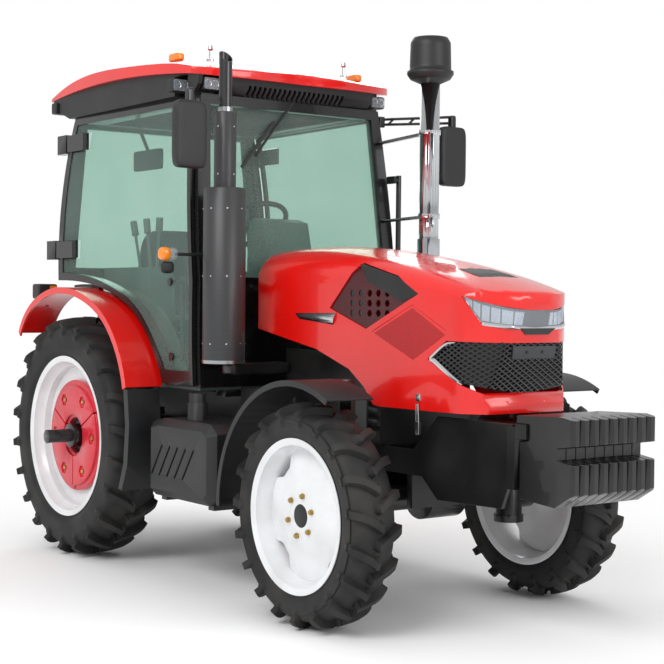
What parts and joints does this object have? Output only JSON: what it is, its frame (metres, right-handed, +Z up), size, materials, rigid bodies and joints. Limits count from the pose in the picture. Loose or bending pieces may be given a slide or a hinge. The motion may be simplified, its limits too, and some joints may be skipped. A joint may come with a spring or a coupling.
{
  "type": "farm tractor",
  "caption": "Compact farm tractor with a closed cab, four driven wheels with lugged tyres, a lifting hood, front weights and a rear three-point linkage.",
  "frame": {"origin": "on the ground below the middle of the tractor's length and width", "axes": "+X forward, +Y to the tractor's left, +Z up"},
  "size_m": [4.27, 1.76, 2.6998],
  "materials": {
    "red_enamel": "gloss",
    "weight_red": "gloss",
    "white_enamel": "gloss",
    "black_enamel": "satin",
    "chassis_black": "satin",
    "cast_black": "satin",
    "tyre_rubber": "matte",
    "black_plastic": "matte",
    "cab_glass": "clear",
    "lamp_lens": "gloss",
    "amber_lens": "gloss",
    "chrome_pipe": "polished",
    "panel_mesh": "satin",
    "seat_cloth": "matte",
    "grey_plastic": "matte"
  },
  "bodies": {
    "tractor": {"front_axle": "cast_black", "engine_block": "cast_black", "radiator": "chassis_black", "transmission": "cast_black", "front_frame": "chassis_black", "front_weights": "cast_black", "fuel_tank": "black_plastic", "side_steps": "chassis_black", "fender_skirts": "black_plastic", "rear_fenders": "red_enamel", "cab_frame": "black_enamel", "cab_floor": "grey_plastic", "fixed_glass": "cab_glass", "roof_cap": "red_enamel", "roof_soffit": "black_plastic", "work_lamps": "lamp_lens", "signal_lamps": "amber_lens", "exhaust": "black_enamel", "intake_pipe": "chrome_pipe", "precleaner": "black_plastic", "mirrors": "black_plastic", "seat": "seat_cloth", "console": "black_plastic", "rear_hitch": "chassis_black"},
    "rear_wheel_left": {"rear_tyre_left": "tyre_rubber", "rear_rim_left": "white_enamel", "wheel_weight_left": "weight_red", "axle_bar_left": "black_enamel"},
    "knuckle_left": {"knuckle_left": "cast_black", "front_fender_left": "black_plastic"},
    "front_wheel_left": {"front_tyre_left": "tyre_rubber", "front_rim_left": "white_enamel"},
    "door_left": {"door_left": "black_enamel", "door_glass_left": "cab_glass"},
    "rear_wheel_right": {"rear_tyre_right": "tyre_rubber", "rear_rim_right": "white_enamel", "wheel_weight_right": "weight_red", "axle_bar_right": "black_enamel"},
    "knuckle_right": {"knuckle_right": "cast_black", "front_fender_right": "black_plastic"},
    "front_wheel_right": {"front_tyre_right": "tyre_rubber", "front_rim_right": "white_enamel"},
    "door_right": {"door_right": "black_enamel", "door_glass_right": "cab_glass"},
    "hood": {"hood": "red_enamel", "grille": "black_plastic", "headlamps": "lamp_lens", "side_panels": "panel_mesh"},
    "rear_window": {"rear_window": "cab_glass"},
    "steering_wheel": {"steering_wheel": "black_plastic"},
    "lift_arms": {"lift_arms": "cast_black"},
    "lift_rods": {"lift_rods": "chassis_black"},
    "lower_links": {"lower_links": "chassis_black"}
  },
  "joints": [
    {"name": "rear_wheel_left_spin", "type": "hinge", "parent": "tractor", "child": "rear_wheel_left", "pos_m": [-1.15, 0.635, 0.645], "axis": [0, 1, 0], "continuous": true},
    {"name": "rear_wheel_right_spin", "type": "hinge", "parent": "tractor", "child": "rear_wheel_right", "pos_m": [-1.15, -0.635, 0.645], "axis": [0, 1, 0], "continuous": true},
    {"name": "steer_left", "type": "hinge", "parent": "tractor", "child": "knuckle_left", "pos_m": [1.03, 0.47, 0.48], "axis": [0, 0, 1], "range_deg": [-30, 30]},
    {"name": "front_wheel_left_spin", "type": "hinge", "parent": "knuckle_left", "child": "front_wheel_left", "pos_m": [1.03, 0.655, 0.48], "axis": [0, 1, 0], "continuous": true},
    {"name": "steer_right", "type": "hinge", "parent": "tractor", "child": "knuckle_right", "pos_m": [1.03, -0.47, 0.48], "axis": [0, 0, 1], "range_deg": [-30, 30]},
    {"name": "front_wheel_right_spin", "type": "hinge", "parent": "knuckle_right", "child": "front_wheel_right", "pos_m": [1.03, -0.655, 0.48], "axis": [0, 1, 0], "continuous": true},
    {"name": "steering_wheel_turn", "type": "hinge", "parent": "tractor", "child": "steering_wheel", "pos_m": [-0.47025, 0, 1.77002], "axis": [-0.5501, 0, 0.8351], "range_deg": [-540, 540]},
    {"name": "door_left_hinge", "type": "hinge", "parent": "tractor", "child": "door_left", "pos_m": [-1.386, 0.708, 1.95], "axis": [0, 0, 1], "range_deg": [0, 80]},
    {"name": "door_right_hinge", "type": "hinge", "parent": "tractor", "child": "door_right", "pos_m": [-1.386, -0.708, 1.95], "axis": [0, 0, -1], "range_deg": [0, 80]},
    {"name": "hood_hinge", "type": "hinge", "parent": "tractor", "child": "hood", "pos_m": [0.125, 0, 1.6], "axis": [0, -1, 0], "range_deg": [0, 50]},
    {"name": "rear_window_hinge", "type": "hinge", "parent": "tractor", "child": "rear_window", "pos_m": [-1.437, 0, 2.372], "axis": [0, 1, 0], "range_deg": [0, 60]},
    {"name": "lift_arm_pivot", "type": "hinge", "parent": "tractor", "child": "lift_arms", "pos_m": [-1.402, 0, 0.945], "axis": [0, 1, 0], "range_deg": [-8, 30]},
    {"name": "lift_rod_pivot", "type": "hinge", "parent": "lift_arms", "child": "lift_rods", "pos_m": [-1.65, 0, 1.005], "axis": [0, 1, 0], "range_deg": [-30, 8]},
    {"name": "lower_link_pivot", "type": "hinge", "parent": "tractor", "child": "lower_links", "pos_m": [-1.3, 0, 0.42], "axis": [0, 1, 0], "range_deg": [-6, 21]}
  ],
  "couplings": [
    {"joint": "steer_right", "follows": "steer_left", "ratio": 1},
    {"joint": "steering_wheel_turn", "follows": "steer_left", "ratio": 18},
    {"joint": "lift_rod_pivot", "follows": "lift_arm_pivot", "ratio": -1},
    {"joint": "lower_link_pivot", "follows": "lift_arm_pivot", "ratio": 0.68}
  ]
}
